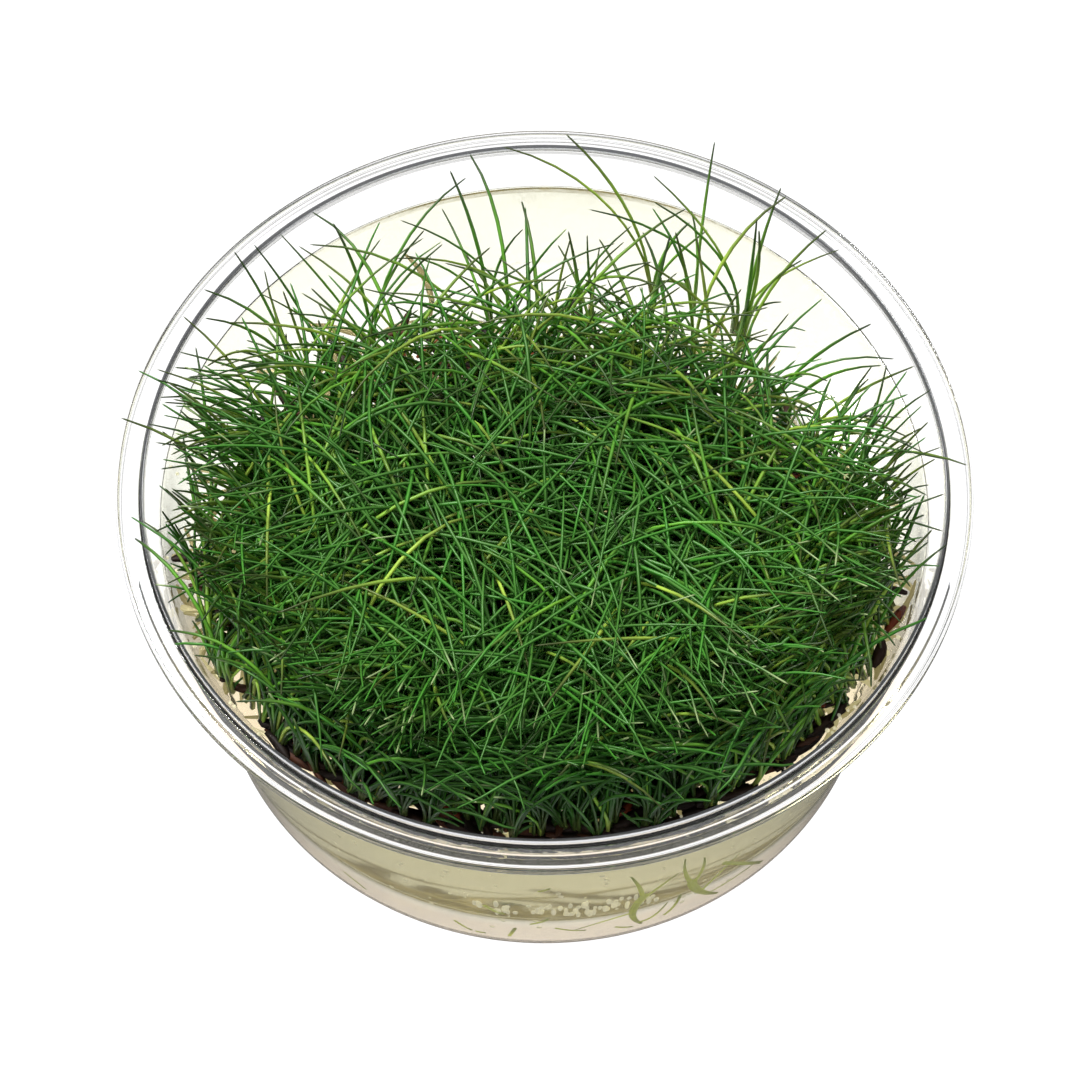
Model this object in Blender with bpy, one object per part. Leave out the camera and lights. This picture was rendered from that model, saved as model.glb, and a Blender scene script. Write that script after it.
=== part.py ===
"""Dwarf hairgrass grown on clear gel in a round culture cup, at real size.

The cup stands on the XY plane with its axis on Z, and its front faces -Y.
The gel fills the cup, thirty-seven clumps of grass stand on the gel, and two
loose plantlets lie against the front wall in pockets of the gel's side.
"""

import math
import random

import bmesh
import bpy
from mathutils import Vector

MM = 0.001
GAP = 0.3 * MM
WELD = 0.001 * MM
ROUND_SEGMENTS = 48
SMOOTH_ANGLE = math.radians(35)

# Clear cup
CUP_HEIGHT = 45.0 * MM
RIM_RADIUS = 51.0 * MM
LIP_RADIUS = 47.8 * MM
BASE_RADIUS = 42.9 * MM
WALL = 0.8 * MM
FLOOR = 1.0 * MM
FLANGE_DROP = 1.2 * MM
FLANGE_THICKNESS = 0.7 * MM
SKIRT_DROP = 0.7 * MM
SKIRT_THICKNESS = 0.8 * MM
BEAD_RISE = 0.3 * MM
LIP_ROOT = 0.3 * MM
FOOT_OUTER = 41.6 * MM
FOOT_INNER = 39.6 * MM
PANEL_RADIUS = 31.0 * MM
PANEL_RISE = 1.6 * MM
BASE_CORNER = 1.2 * MM

# Gel
GEL_TOP = 38.1 * MM
GEL_SHORE_RADIUS = 46.2 * MM
MENISCUS_RISE = 0.7 * MM
MENISCUS_WIDTH = 1.4 * MM

# Turf of grass clumps
# The turf fills the cup's front and sides, and thins out before it reaches the back wall.
TURF_RADIUS = 44.0 * MM
TURF_BACK = 30.0 * MM
TURF_BACK_BOW = 0.0172 / MM
TURF_MIDDLE = (0.0, -7.0 * MM)
CLUMP_COUNT = 37
CLUMP_JITTER = 0.6 * MM
GOLDEN_TURN = math.pi * (3 - math.sqrt(5))
TURF_HEIGHT_MIDDLE = 20.0 * MM
TURF_HEIGHT_EDGE = 9.0 * MM
TURF_FAN = 0.006 / MM
CLUMP_GAP = 0.4 * MM
CELL_START_SIDES = 24
CELL_SHORTEST_SIDE = 1.7 * MM
BODY_LEVELS = ((0.0, 0.50), (0.22, 0.86), (0.46, 0.98), (0.62, 0.52))
LOCK_SHARES = (0.30, 0.66)
LOCK_WIDTHS = (0.46, 0.27)
LOCK_REACH = (0.55, 1.0)
LOCK_EXTRA = (-1.5 * MM, 5.0 * MM)
MIDDLE_LOCK_EXTRA = (3.0 * MM, 8.0 * MM)
MIDDLE_LOCK_LEAN = 2.0 * MM
LOCK_BOW = 0.55
SEED = 14

# Loose plantlets
# A blade is its three places on the wall, as degrees from the front and height in mm,
# and its width at the thick end.
STEM_SIDES = 4
BLADE_TAPER = (1.0, 0.8, 0.35)
PLANTLET_DEPTH = 1.0 * MM
POCKET_DEPTH = 2.0 * MM
PLANTLET_1_BLADES = (
    (((16.3, 16.2), (14.6, 9.4), (16.6, 3.4)), 1.3 * MM),
    (((15.9, 14.6), (14.9, 20.0), (13.2, 25.4)), 0.8 * MM),
    (((15.9, 14.6), (18.4, 18.2), (21.0, 21.4)), 0.7 * MM),
    (((15.8, 4.6), (18.4, 5.2), (20.5, 9.6)), 0.7 * MM),
    (((15.0, 9.6), (10.0, 8.2), (5.0, 5.6)), 0.6 * MM),
)
PLANTLET_2_BLADES = (
    (((24.0, 15.6), (26.2, 9.2), (30.6, 3.4)), 1.4 * MM),
    (((24.5, 13.8), (22.4, 20.0), (21.6, 26.4)), 0.8 * MM),
    (((24.5, 13.8), (25.4, 19.0), (25.0, 24.0)), 0.7 * MM),
    (((26.6, 8.8), (29.4, 13.2), (32.2, 17.6)), 0.6 * MM),
)
POCKET_MARGIN_ANGLE = 1.6
POCKET_MARGIN_HEIGHT = 1.2 * MM
POCKET_SEGMENTS = 6


def clear_scene():
    """Empties the scene of what it holds at the start."""
    for item in list(bpy.data.objects):
        bpy.data.objects.remove(item, do_unlink=True)


def principled(name, colour, roughness, transmission=0.0, ior=1.45):
    """A material of one colour, which is clear where transmission is 1."""
    material = bpy.data.materials.new(name)
    material.use_nodes = True
    shader = material.node_tree.nodes["Principled BSDF"]
    shader.inputs["Base Color"].default_value = (*colour, 1.0)
    shader.inputs["Roughness"].default_value = roughness
    shader.inputs["Metallic"].default_value = 0.0
    shader.inputs["Transmission Weight"].default_value = transmission
    shader.inputs["IOR"].default_value = ior
    return material


def add_object(name, bm, material):
    """Closes the bmesh into a smooth-shaded object at the world's origin."""
    bmesh.ops.recalc_face_normals(bm, faces=bm.faces)
    mesh = bpy.data.meshes.new(name)
    bm.to_mesh(mesh)
    bm.free()
    mesh.shade_smooth()
    mesh.set_sharp_from_angle(angle=SMOOTH_ANGLE)
    mesh.materials.append(material)
    item = bpy.data.objects.new(name, mesh)
    bpy.context.scene.collection.objects.link(item)
    return item


def hide_helper(item):
    """Marks an object that only shapes another one."""
    item.hide_render = True
    item.display_type = "WIRE"


def add_boolean(item, helper, operation):
    """Unites an object with a helper, or cuts the helper out of it."""
    modifier = item.modifiers.new(f"{operation.title()} {helper.name}", "BOOLEAN")
    modifier.operation = operation
    modifier.object = helper
    modifier.solver = "EXACT"


def wall_radius(height):
    """Radius of the cup's inner wall at a height, for the two tapers of the wall."""
    inner_base = BASE_RADIUS - WALL
    if height <= GEL_TOP:
        share = (height - BASE_CORNER) / (GEL_TOP - BASE_CORNER)
        return inner_base + share * (GEL_SHORE_RADIUS - inner_base)
    share = (height - GEL_TOP) / (CUP_HEIGHT - GEL_TOP)
    return GEL_SHORE_RADIUS + share * (LIP_RADIUS - WALL / 2 - GEL_SHORE_RADIUS)


def lathe(profile):
    """Turns (radius, height) points, which run from axis to axis, once around Z."""
    bm = bmesh.new()
    verts = [bm.verts.new((radius, 0.0, height)) for radius, height in profile]
    edges = [bm.edges.new(pair) for pair in zip(verts, verts[1:])]
    bmesh.ops.spin(
        bm,
        geom=verts + edges,
        cent=(0.0, 0.0, 0.0),
        axis=(0.0, 0.0, 1.0),
        angle=math.tau,
        steps=ROUND_SEGMENTS,
    )
    bmesh.ops.remove_doubles(bm, verts=bm.verts, dist=WELD)
    return bm


def stack_rings(bm, rings):
    """Bridges rings of points into a closed skin; returns its last band and its last cap."""
    loops = []
    for ring in rings:
        verts = [bm.verts.new(place) for place in ring]
        pairs = zip(verts, verts[1:] + verts[:1])
        loops.append([bm.edges.new(pair) for pair in pairs])
    band = []
    for lower, upper in zip(loops, loops[1:]):
        band = bmesh.ops.bridge_loops(bm, edges=lower + upper)["faces"]
    bmesh.ops.edgeloop_fill(bm, edges=loops[0])
    cap = bmesh.ops.edgeloop_fill(bm, edges=loops[-1])["faces"]
    return band, cap


def cup_profile():
    """Section of the cup: under the base, up the outside, over the rim, down the inside."""
    lip_outer = LIP_RADIUS + WALL / 2
    lip_inner = LIP_RADIUS - WALL / 2
    lip_round = WALL / 2
    flange_top = CUP_HEIGHT - FLANGE_DROP
    flange_under = flange_top - FLANGE_THICKNESS
    skirt_inner = RIM_RADIUS - SKIRT_THICKNESS
    base = [
        (0.0, PANEL_RISE),
        (PANEL_RADIUS, PANEL_RISE),
        (FOOT_INNER, 0.0),
        (FOOT_OUTER, 0.0),
        (BASE_RADIUS, BASE_CORNER),
    ]
    outside = [
        (GEL_SHORE_RADIUS + WALL, GEL_TOP),
        (lip_outer, flange_under),
        (skirt_inner, flange_under),
        (skirt_inner, flange_under - SKIRT_DROP),
        (RIM_RADIUS, flange_under - SKIRT_DROP),
        (RIM_RADIUS, flange_top),
        (RIM_RADIUS - SKIRT_THICKNESS / 2, flange_top + BEAD_RISE),
        (skirt_inner, flange_top),
        (lip_outer + LIP_ROOT, flange_top),
    ]
    lip = [
        (lip_outer, CUP_HEIGHT - lip_round),
        (LIP_RADIUS, CUP_HEIGHT),
        (lip_inner, CUP_HEIGHT - lip_round),
    ]
    inside = [
        (GEL_SHORE_RADIUS, GEL_TOP),
        (wall_radius(FLOOR + BASE_CORNER), FLOOR + BASE_CORNER),
        (FOOT_OUTER - WALL / 2, FLOOR),
        (FOOT_INNER, FLOOR),
        (PANEL_RADIUS, PANEL_RISE + FLOOR),
        (0.0, PANEL_RISE + FLOOR),
    ]
    return base + outside + lip + inside


def gel_profile():
    """Section of the gel, which follows the cup's inside and climbs it a little at the wall."""
    shore = GEL_SHORE_RADIUS - GAP
    corner_height = FLOOR + BASE_CORNER + GAP
    return [
        (0.0, PANEL_RISE + FLOOR + GAP),
        (PANEL_RADIUS, PANEL_RISE + FLOOR + GAP),
        (FOOT_INNER, FLOOR + GAP),
        (FOOT_OUTER - WALL / 2 - GAP, FLOOR + GAP),
        (wall_radius(corner_height) - GAP, corner_height),
        (shore, GEL_TOP),
        (wall_radius(GEL_TOP + MENISCUS_RISE) - GAP, GEL_TOP + MENISCUS_RISE),
        (shore - MENISCUS_WIDTH / 2, GEL_TOP + MENISCUS_RISE / 4),
        (shore - MENISCUS_WIDTH, GEL_TOP),
        (0.0, GEL_TOP),
    ]


def wall_point(angle, height, depth):
    """Point inside the cup's wall: angle in degrees from the front towards +X."""
    radius = wall_radius(height) - depth
    turn = math.radians(angle)
    return Vector((radius * math.sin(turn), -radius * math.cos(turn), height))


def taper_ring(centre, along, outward, width):
    """Four-sided ring across a blade, as wide along the wall as it is deep."""
    across = along.cross(outward).normalized()
    ring = []
    for side in range(STEM_SIDES):
        turn = math.tau * side / STEM_SIDES
        offset = across * math.cos(turn) + outward * math.sin(turn)
        ring.append(centre + offset * width / 2)
    return ring


def add_wall_blade(bm, path, width):
    """One blade of a plantlet, which tapers along three places on the wall."""
    centres = [wall_point(angle, height * MM, PLANTLET_DEPTH) for angle, height in path]
    rings = []
    for index, (centre, taper) in enumerate(zip(centres, BLADE_TAPER)):
        before = centres[max(index - 1, 0)]
        after = centres[min(index + 1, len(centres) - 1)]
        along = (after - before).normalized()
        outward = Vector((centre.x, centre.y, 0.0)).normalized()
        rings.append(taper_ring(centre, along, outward, width * taper))
    stack_rings(bm, rings)


def add_plantlet(name, blades, material):
    """A seedling of a few blades, which are united with its stem."""
    bm = bmesh.new()
    add_wall_blade(bm, *blades[0])
    stem = add_object(name, bm, material)
    for number, blade in enumerate(blades[1:], start=1):
        bm = bmesh.new()
        add_wall_blade(bm, *blade)
        helper = add_object(f"{name}_blade_{number}", bm, material)
        hide_helper(helper)
        add_boolean(stem, helper, "UNION")
    return stem


def add_pocket(name, blades, material):
    """Cutter for the space around a plantlet, open towards the wall."""
    angles = [angle for path, _ in blades for angle, _ in path]
    heights = [height * MM for path, _ in blades for _, height in path]
    first = min(angles) - POCKET_MARGIN_ANGLE
    last = max(angles) + POCKET_MARGIN_ANGLE
    low = min(heights) - POCKET_MARGIN_HEIGHT
    high = max(heights) + POCKET_MARGIN_HEIGHT
    rings = []
    for step in range(POCKET_SEGMENTS + 1):
        angle = first + (last - first) * step / POCKET_SEGMENTS
        rings.append([
            wall_point(angle, low, POCKET_DEPTH),
            wall_point(angle, low, -WALL),
            wall_point(angle, high, -WALL),
            wall_point(angle, high, POCKET_DEPTH),
        ])
    bm = bmesh.new()
    stack_rings(bm, rings)
    pocket = add_object(name, bm, material)
    hide_helper(pocket)
    return pocket


def turf_edge(turn):
    """Place on the turf's outline: a circle that a bow cuts off at the back."""
    x = math.cos(turn) * TURF_RADIUS
    y = math.sin(turn) * TURF_RADIUS
    return Vector((x, min(y, TURF_BACK - TURF_BACK_BOW * x ** 2)))


def clump_centres(rng):
    """Places of the clumps on the gel: a spiral that fills the turf's outline evenly."""
    centres = []
    for index in range(CLUMP_COUNT):
        share = math.sqrt((index + 0.5) / CLUMP_COUNT)
        shift = Vector((rng.uniform(-1, 1), rng.uniform(-1, 1))) * CLUMP_JITTER
        edge = turf_edge(index * GOLDEN_TURN)
        centres.append(Vector(TURF_MIDDLE).lerp(edge, share) + shift)
    return centres


def clip_polygon(polygon, normal, limit):
    """Keeps the part of a convex polygon where its dot product with normal is under limit."""
    kept = []
    for start, end in zip(polygon, polygon[1:] + polygon[:1]):
        start_over = start.dot(normal) - limit
        end_over = end.dot(normal) - limit
        if start_over <= 0:
            kept.append(start)
        if start_over * end_over < 0:
            kept.append(start.lerp(end, start_over / (start_over - end_over)))
    return kept


def merge_short_sides(polygon):
    """Drops each corner that lies too close to the corner before it."""
    kept = []
    for index, corner in enumerate(polygon):
        if (corner - polygon[index - 1]).length >= CELL_SHORTEST_SIDE:
            kept.append(corner)
    return kept


def clump_cell(centres, index):
    """Outline of the ground that is nearer to one clump's centre than to any other."""
    own = centres[index]
    polygon = [turf_edge(math.tau * side / CELL_START_SIDES) for side in range(CELL_START_SIDES)]
    for other in centres:
        if other is not own:
            normal = (other - own).normalized()
            middle = (other + own) / 2
            polygon = clip_polygon(polygon, normal, middle.dot(normal) - CLUMP_GAP / 2)
    return merge_short_sides(polygon)


def turf_height(centre):
    """Height of the dense turf over the gel: a low dome."""
    share = min((centre - Vector(TURF_MIDDLE)).length / TURF_RADIUS, 1.0)
    return TURF_HEIGHT_EDGE + (TURF_HEIGHT_MIDDLE - TURF_HEIGHT_EDGE) * (1 - share ** 2)


def fan_out(place, rise):
    """Spreads a place on the ground outwards with its height, and stands it on the gel."""
    spread = 1 + TURF_FAN * rise
    return Vector((place.x * spread, place.y * spread, GEL_TOP + GAP + rise))


def ground_under(place):
    """The place on the ground that fan_out spreads to a place above the gel."""
    spread = 1 + TURF_FAN * (place.z - GEL_TOP - GAP)
    return Vector((place.x, place.y)) / spread


def grow_lock(bm, face, ground, tip_rise):
    """Draws one face of a clump's body up and over into a lock that ends in a point."""
    corners = [vert.co.copy() for vert in face.verts]
    start = face.calc_center_median()
    tip = fan_out(ground, tip_rise)
    knee = start.lerp(tip, 0.5).lerp(Vector((start.x, start.y, tip.z)), LOCK_BOW)
    for share, width in zip(LOCK_SHARES, LOCK_WIDTHS):
        centre = start.lerp(knee, share).lerp(knee.lerp(tip, share), share)
        face = bmesh.ops.extrude_discrete_faces(bm, faces=[face])["faces"][0]
        for vert, corner in zip(face.verts, corners):
            vert.co = centre + (corner - start) * width
    face = bmesh.ops.extrude_discrete_faces(bm, faces=[face])["faces"][0]
    bmesh.ops.pointmerge(bm, verts=list(face.verts), merge_co=tip)


def add_clump(name, centres, index, rng, material):
    """A sheaf of grass whose body fans out from the crown, with locks that reach its tips."""
    own = centres[index]
    cell = clump_cell(centres, index)
    height = turf_height(own)
    rings = []
    for rise_share, width_share in BODY_LEVELS:
        ring = [own + (corner - own) * width_share for corner in cell]
        rings.append([fan_out(place, rise_share * height) for place in ring])
    bm = bmesh.new()
    band, cap = stack_rings(bm, rings)
    shoulder_width = (BODY_LEVELS[-2][1] + BODY_LEVELS[-1][1]) / 2
    for face in band:
        to_side = (ground_under(face.calc_center_median()) - own) / shoulder_width
        tip_rise = height + rng.uniform(*LOCK_EXTRA)
        grow_lock(bm, face, own + to_side * rng.uniform(*LOCK_REACH), tip_rise)
    lean = Vector((rng.uniform(-1, 1), rng.uniform(-1, 1))) * MIDDLE_LOCK_LEAN
    grow_lock(bm, cap[0], own + lean, height + rng.uniform(*MIDDLE_LOCK_EXTRA))
    return add_object(name, bm, material)


def build():
    """Models the cup, the gel, the two plantlets and the turf."""
    clear_scene()
    rng = random.Random(SEED)

    clear_plastic = principled("clear_plastic", (0.93, 0.95, 0.95), 0.05, 1.0, 1.49)
    culture_gel = principled("culture_gel", (0.80, 0.78, 0.60), 0.15, 0.8, 1.34)
    grass_blades = principled("grass_blades", (0.05, 0.19, 0.015), 0.45)
    plantlet_leaf = principled("plantlet_leaf", (0.25, 0.30, 0.07), 0.5)

    add_object("cup", lathe(cup_profile()), clear_plastic)

    gel = add_object("gel", lathe(gel_profile()), culture_gel)
    plantlets = (PLANTLET_1_BLADES, PLANTLET_2_BLADES)
    for number, blades in enumerate(plantlets, start=1):
        pocket = add_pocket(f"pocket_{number}", blades, culture_gel)
        add_boolean(gel, pocket, "DIFFERENCE")
        add_plantlet(f"plantlet_{number}", blades, plantlet_leaf)

    centres = clump_centres(rng)
    for index in range(len(centres)):
        add_clump(f"clump_{index + 1:02d}", centres, index, rng, grass_blades)


build()
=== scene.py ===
"""Looks of a round culture cup of dwarf hairgrass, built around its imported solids.

The clear cup, the gel and the two loose plantlets are modelled finely in the place of
their solids, and each clump of the turf is replaced by its hair-fine blades.
Lengths are written in millimetres, and MM turns them into metres.
"""

import logging
import math
from dataclasses import dataclass
from enum import Enum

import bmesh
import bpy
import numpy as np
from bpy.types import Material, Mesh, Node, NodeSocket, NodeTree, Object
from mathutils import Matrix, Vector


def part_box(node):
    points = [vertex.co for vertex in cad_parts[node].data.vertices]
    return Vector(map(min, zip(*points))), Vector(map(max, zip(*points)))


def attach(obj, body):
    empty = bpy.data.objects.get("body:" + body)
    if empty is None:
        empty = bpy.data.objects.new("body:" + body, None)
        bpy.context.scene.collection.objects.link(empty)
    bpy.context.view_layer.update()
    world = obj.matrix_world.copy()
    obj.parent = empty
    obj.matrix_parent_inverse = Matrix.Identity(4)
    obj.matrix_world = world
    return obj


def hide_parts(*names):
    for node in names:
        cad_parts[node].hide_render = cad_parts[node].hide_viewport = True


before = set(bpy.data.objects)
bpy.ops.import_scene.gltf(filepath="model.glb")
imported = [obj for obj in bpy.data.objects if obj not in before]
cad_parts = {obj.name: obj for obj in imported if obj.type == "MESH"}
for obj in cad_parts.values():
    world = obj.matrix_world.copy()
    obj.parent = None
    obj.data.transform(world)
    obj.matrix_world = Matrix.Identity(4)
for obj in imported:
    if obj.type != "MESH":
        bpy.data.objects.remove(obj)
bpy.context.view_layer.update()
BODY = "root"
MM = 0.001
SEED = 11
WHITE = "#FFFFFF"
BLACK = "#000000"
NEARLY_STRAIGHT = math.radians(88)
MOST_OF_SIDE = 0.48
TRIANGLE_HEIGHT = math.sqrt(0.75)

log = logging.getLogger("culture_cup")


def linear(hex_colour: str) -> tuple[float, float, float, float]:
    """Turns an sRGB hex colour such as #A0B0C0 into the linear colour, with alpha, that shaders take."""
    channels = []
    for start in (1, 3, 5):
        value = int(hex_colour[start:start + 2], 16) / 255
        channels.append(value / 12.92 if value <= 0.04045 else ((value + 0.055) / 1.055) ** 2.4)
    return (*channels, 1.0)


def feed(node: Node, inputs: dict) -> None:
    """Gives a node's inputs their values or links, keyed by the input's name or number."""
    for key, value in inputs.items():
        if isinstance(value, NodeSocket):
            node.id_data.links.new(value, node.inputs[key])
        else:
            node.inputs[key].default_value = value


def add_node(tree: NodeTree, kind: str, inputs: dict | None = None, **settings) -> Node:
    """Adds one node with its settings, values and links.

    Args:
        tree: the material's or world's node tree.
        kind: the node's type, such as ShaderNodeMath.
        inputs: values or sockets to link, keyed by the input's name or number.
        settings: properties of the node itself.

    Returns:
        The new node.
    """
    node = tree.nodes.new(kind)
    for key, value in settings.items():
        setattr(node, key, value)
    feed(node, inputs or {})
    return node


def computed(tree: NodeTree, operation: str, first: NodeSocket,
             second: NodeSocket | float = 0.0) -> NodeSocket:
    """Result of one sum on two numbers."""
    return add_node(tree, "ShaderNodeMath", {0: first, 1: second}, operation=operation).outputs[0]


def ranged(tree: NodeTree, value: NodeSocket, low: NodeSocket | float, high: float, to_low: float = 0.0,
           to_high: float = 1.0, easing: str = "LINEAR") -> NodeSocket:
    """Number that goes from one end to the other while the value goes from low to high."""
    return add_node(tree, "ShaderNodeMapRange", {
        "Value": value, "From Min": low, "From Max": high, "To Min": to_low, "To Max": to_high,
    }, interpolation_type=easing).outputs["Result"]


def blended(tree: NodeTree, share: NodeSocket | float, first: NodeSocket | str, second: NodeSocket | str,
            blend: str = "MIX") -> NodeSocket:
    """Mix of two colours, each a socket or a hex colour."""
    first, second = (linear(colour) if isinstance(colour, str) else colour for colour in (first, second))
    return add_node(
        tree, "ShaderNodeMix", {0: share, 6: first, 7: second}, data_type="RGBA", blend_type=blend,
    ).outputs[2]


def ramp(tree: NodeTree, value: NodeSocket, stops: list[tuple[float, str]]) -> NodeSocket:
    """Colour ramp through stops of position and hex colour, in rising order."""
    node = add_node(tree, "ShaderNodeValToRGB", {"Fac": value})
    elements = node.color_ramp.elements
    elements.remove(elements[-1])
    elements[0].position = stops[0][0]
    elements[0].color = linear(stops[0][1])
    for position, colour in stops[1:]:
        elements.new(position).color = linear(colour)
    return node.outputs["Color"]


def noise(tree: NodeTree, place: NodeSocket, scale: float, detail: float = 2.0) -> NodeSocket:
    """Soft noise of a scale over places."""
    return add_node(tree, "ShaderNodeTexNoise", {
        "Vector": place, "Scale": scale, "Detail": detail,
    }).outputs["Fac"]


def bumped(tree: NodeTree, height: NodeSocket, strength: NodeSocket | float, depth: float) -> NodeSocket:
    """Normal of a surface that a height moves by up to a depth in mm."""
    return add_node(tree, "ShaderNodeBump", {
        "Height": height, "Strength": strength, "Distance": depth * MM,
    }).outputs["Normal"]


def object_place(tree: NodeTree) -> NodeSocket:
    """Place on the object, in metres."""
    return add_node(tree, "ShaderNodeTexCoord").outputs["Object"]


def part_of(tree: NodeTree, vector: NodeSocket, axis: str) -> NodeSocket:
    """One coordinate of a vector."""
    return add_node(tree, "ShaderNodeSeparateXYZ", {"Vector": vector}).outputs[axis]


def attribute(tree: NodeTree, name: str) -> NodeSocket:
    """Number that the mesh stores under a name."""
    return add_node(tree, "ShaderNodeAttribute", attribute_name=name).outputs["Fac"]


def fresh_material(name: str) -> Material:
    """Makes a material that holds only a Principled shader and its output."""
    material = bpy.data.materials.new(name)
    material.use_nodes = True
    return material


def dress(material: Material, inputs: dict) -> None:
    """Feeds the material's Principled shader."""
    feed(material.node_tree.nodes["Principled BSDF"], inputs)


def glow(material: Material, colour: NodeSocket, strength: float) -> None:
    """Paints a glow into a material: emission that stands in for the light that passes through the real one.
    """
    dress(material, {"Emission Color": colour, "Emission Strength": strength})
    material.cycles.emission_sampling = "NONE"


def tint_depth(material: Material, colour: str, density: float) -> None:
    """Tints a clear material through its depth."""
    nodes = material.node_tree.nodes
    body = add_node(material.node_tree, "ShaderNodeVolumeAbsorption", {
        "Color": linear(colour), "Density": density,
    })
    feed(nodes["Material Output"], {"Volume": body.outputs["Volume"]})


@dataclass(frozen=True)
class ClearPlastic:
    """Clear polypropylene, injection moulded: bright, thin walls, and a lip painted grey, with a faint
    painted glow, for the shade that its rim shows.
    """

    ior: float = 1.49
    wall_roughness: float = 0.03
    lip_roughness: float = 0.2
    lip_haze: str = "#B6B8BC"
    lip_span: tuple = (44.2, 44.5)
    lip_glow: float = 0.14
    tint: str = "#CFCAC4"
    density: float = 20.0
    flow_size: float = 9.0
    flow_depth: float = 0.02
    flow_strength: float = 0.3

    def material(self) -> Material:
        """Builds the clear shader, with faint moulding flow in its surface and a grey-green body."""
        material = fresh_material("moulded_clear_polypropylene")
        tree = material.node_tree
        place = object_place(tree)
        height = part_of(tree, place, "Z")
        low, high = (end * MM for end in self.lip_span)
        lip = ranged(tree, height, low, high)
        flow = noise(tree, place, 1 / (self.flow_size * MM), detail=1.0)
        dress(material, {
            "IOR": self.ior,
            "Transmission Weight": 1.0,
            # Painted shade: the lip's base colour is grey.
            "Base Color": blended(tree, lip, WHITE, self.lip_haze),
            "Roughness": ranged(tree, height, low, high, self.wall_roughness, self.lip_roughness),
            "Normal": bumped(tree, flow, self.flow_strength, self.flow_depth),
        })
        # Painted glow: the lip gives off a faint grey light, though it is no lamp.
        glow(material, blended(tree, lip, BLACK, self.lip_haze), self.lip_glow)
        tint_depth(material, self.tint, self.density)
        return material


@dataclass(frozen=True)
class CultureGel:
    """Plant-culture gel, poured hot and set: clear, pale olive through its depth, wet on top."""

    ior: float = 1.34
    roughness: float = 0.03
    tint: str = "#F0EABC"
    density: float = 15.0
    ripple_size: float = 2.2
    ripple_depth: float = 0.06
    top_span: tuple = (36.6, 37.4)

    def material(self) -> Material:
        """Builds the gel's clear shader, with small ripples of a set surface."""
        material = fresh_material("set_culture_gel")
        tree = material.node_tree
        place = object_place(tree)
        low, high = (end * MM for end in self.top_span)
        top = ranged(tree, part_of(tree, place, "Z"), low, high)
        ripple = noise(tree, place, 1 / (self.ripple_size * MM))
        dress(material, {
            "Base Color": linear(WHITE),
            "Roughness": self.roughness,
            "IOR": self.ior,
            "Transmission Weight": 1.0,
            "Normal": bumped(tree, ripple, top, self.ripple_depth),
        })
        tint_depth(material, self.tint, self.density)
        return material


class TipTone(Enum):
    """How the last stretch of a blade looks."""

    PALE = 0.0
    GREEN = 0.5
    DARK = 1.0


@dataclass(frozen=True)
class LeafSkin:
    """Skin of a hair-fine blade: deep waxy green, a paler midrib on the upper side that is also a painted
    highlight, a foot darkened by painted shade or sheathed, a tip painted dark as shade.
    """

    name: str = "hairgrass_blade"
    tones: tuple = (
        (0.0, "#023804"), (0.3, "#06500A"), (0.6, "#10680C"), (0.8, "#62A828"), (1.0, "#BCD450"),
    )
    fleck_scale: float = 14.0
    sheath: str = "#A8AE58"
    sheath_reach: tuple = (0.03, 0.26)
    sheath_share: float = 0.9
    # Painted shade: colour that the lower blade darkens to, low in the turf.
    foot: str = "#06200A"
    foot_reach: tuple = (0.0, 0.7)
    foot_share: float = 0.92
    # Painted shade: the near-black end of backlit blades.
    dark_tip: str = "#24261E"
    pale_tip: str = "#9DB07A"
    dark_tip_start: float = 0.5
    pale_tip_start: float = 0.9
    tip_share: float = 0.9
    rib: str = "#86C25A"
    rib_share: float = 0.3
    roughness: float = 0.34
    shine: float = 0.25
    let_through: float = 0.0

    def material(self) -> Material:
        """Builds the blade's colours from its own attributes: along, the upper side for the midrib and its
        painted highlight, tone, tip, sheath, and shade for the painted shade at the foot.
        """
        material = fresh_material(self.name)
        tree = material.node_tree
        along, tone, tip = (attribute(tree, name) for name in ("along", "tone", "tip"))
        along_tone = add_node(tree, "ShaderNodeCombineXYZ", {"X": along, "Y": tone}).outputs["Vector"]
        fleck = ranged(tree, noise(tree, along_tone, self.fleck_scale), 0.3, 0.7, 0.8, 1.2)
        colour = blended(tree, 1.0, ramp(tree, tone, self.tones), fleck, "MULTIPLY")
        # Painted highlight: the upper side is paler, partly a real midrib and partly the light from above.
        rib = computed(tree, "MULTIPLY", computed(tree, "POWER", attribute(tree, "rib"), 2.0), self.rib_share)
        colour = blended(tree, rib, colour, self.rib)
        # Painted shade at the foot through the shade attribute, then the sheath's own pale colour.
        for name, reach, share, low_colour in (
            ("shade", self.foot_reach, self.foot_share, self.foot),
            ("sheath", self.sheath_reach, self.sheath_share, self.sheath),
        ):
            fade = ranged(tree, along, *reach, share, 0.0, "SMOOTHSTEP")
            fade = computed(tree, "MULTIPLY", fade, attribute(tree, name))
            colour = blended(tree, fade, colour, low_colour)
        # Tips: pale ones are the blade's own colour, dark ones are painted shade.
        tip_start = ranged(tree, tip, 0.0, 1.0, self.pale_tip_start, self.dark_tip_start)
        tip_end = ranged(tree, along, tip_start, 1.0, 0.0, self.tip_share, "SMOOTHSTEP")
        off_green = computed(tree, "ABSOLUTE", computed(tree, "SUBTRACT", tip, TipTone.GREEN.value))
        tip_part = computed(tree, "MULTIPLY", tip_end, computed(tree, "MULTIPLY", off_green, 2.0))
        colour = blended(tree, tip_part, colour, blended(tree, tip, self.pale_tip, self.dark_tip))
        dress(material, {
            "Base Color": colour, "Roughness": self.roughness, "Specular IOR Level": self.shine,
        })
        # Painted glow, off unless a skin asks for it.
        if self.let_through:
            glow(material, colour, self.let_through)
        return material


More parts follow.
